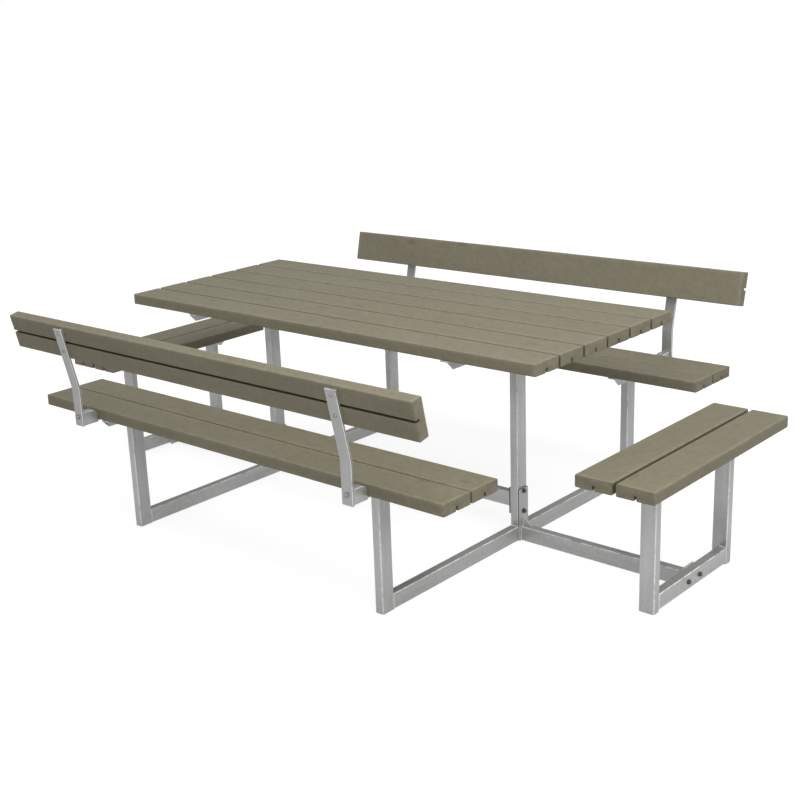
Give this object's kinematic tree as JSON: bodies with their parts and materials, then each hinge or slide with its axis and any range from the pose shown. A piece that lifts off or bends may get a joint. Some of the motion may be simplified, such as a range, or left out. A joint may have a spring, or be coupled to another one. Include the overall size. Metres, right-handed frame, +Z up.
{
  "type": "picnic table",
  "caption": "Plank-topped picnic table on a welded and bolted steel tube frame, with long benches with backrests on both sides and a short bench at each end.",
  "frame": {"origin": "on the floor, at the centre of the table's footprint", "axes": "+X along the length of the tabletop towards the right end bench, +Y across the table towards the far bench, +Z up"},
  "size_m": [2.552, 1.8238, 0.7657],
  "materials": {
    "stained_wood": "grey-brown translucent stain on planed planks, low sheen",
    "galvanised_steel": "hot-dip galvanised, dull with a faint spangle",
    "zinc_fasteners": "zinc plated, slightly weathered"
  },
  "bodies": {
    "root": {"table_plank_1": "stained_wood", "table_plank_2": "stained_wood", "table_plank_3": "stained_wood", "table_plank_4": "stained_wood", "table_plank_5": "stained_wood", "table_plank_6": "stained_wood", "near_seat_plank_outer": "stained_wood", "near_seat_plank_inner": "stained_wood", "far_seat_plank_inner": "stained_wood", "far_seat_plank_outer": "stained_wood", "left_seat_plank_outer": "stained_wood", "left_seat_plank_inner": "stained_wood", "right_seat_plank_inner": "stained_wood", "right_seat_plank_outer": "stained_wood", "near_backrest_plank": "stained_wood", "far_backrest_plank": "stained_wood", "left_floor_tube": "galvanised_steel", "right_floor_tube": "galvanised_steel", "left_tall_post": "galvanised_steel", "right_tall_post": "galvanised_steel", "left_near_bench_post": "galvanised_steel", "left_far_bench_post": "galvanised_steel", "right_near_bench_post": "galvanised_steel", "right_far_bench_post": "galvanised_steel", "left_table_beam": "galvanised_steel", "right_table_beam": "galvanised_steel", "left_near_seat_arm": "galvanised_steel", "left_far_seat_arm": "galvanised_steel", "right_near_seat_arm": "galvanised_steel", "right_far_seat_arm": "galvanised_steel", "stretcher": "galvanised_steel", "stretcher_end_plates": "galvanised_steel", "left_extension_arm": "galvanised_steel", "right_extension_arm": "galvanised_steel", "left_post_plate": "galvanised_steel", "right_post_plate": "galvanised_steel", "arm_end_plates": "galvanised_steel", "left_end_post_near": "galvanised_steel", "left_end_post_far": "galvanised_steel", "right_end_post_near": "galvanised_steel", "right_end_post_far": "galvanised_steel", "left_cross_tube": "galvanised_steel", "right_cross_tube": "galvanised_steel", "left_end_seat_arm_near": "galvanised_steel", "left_end_seat_arm_far": "galvanised_steel", "right_end_seat_arm_near": "galvanised_steel", "right_end_seat_arm_far": "galvanised_steel", "left_near_support": "galvanised_steel", "left_far_support": "galvanised_steel", "right_near_support": "galvanised_steel", "right_far_support": "galvanised_steel", "support_brackets": "galvanised_steel", "tube_caps": "galvanised_steel", "table_screws": "zinc_fasteners", "bench_screws": "zinc_fasteners", "end_bench_screws": "zinc_fasteners", "backrest_screws": "zinc_fasteners", "bracket_bolts": "zinc_fasteners", "post_bolts": "zinc_fasteners", "end_plate_bolts": "zinc_fasteners"}
  },
  "joints": []
}
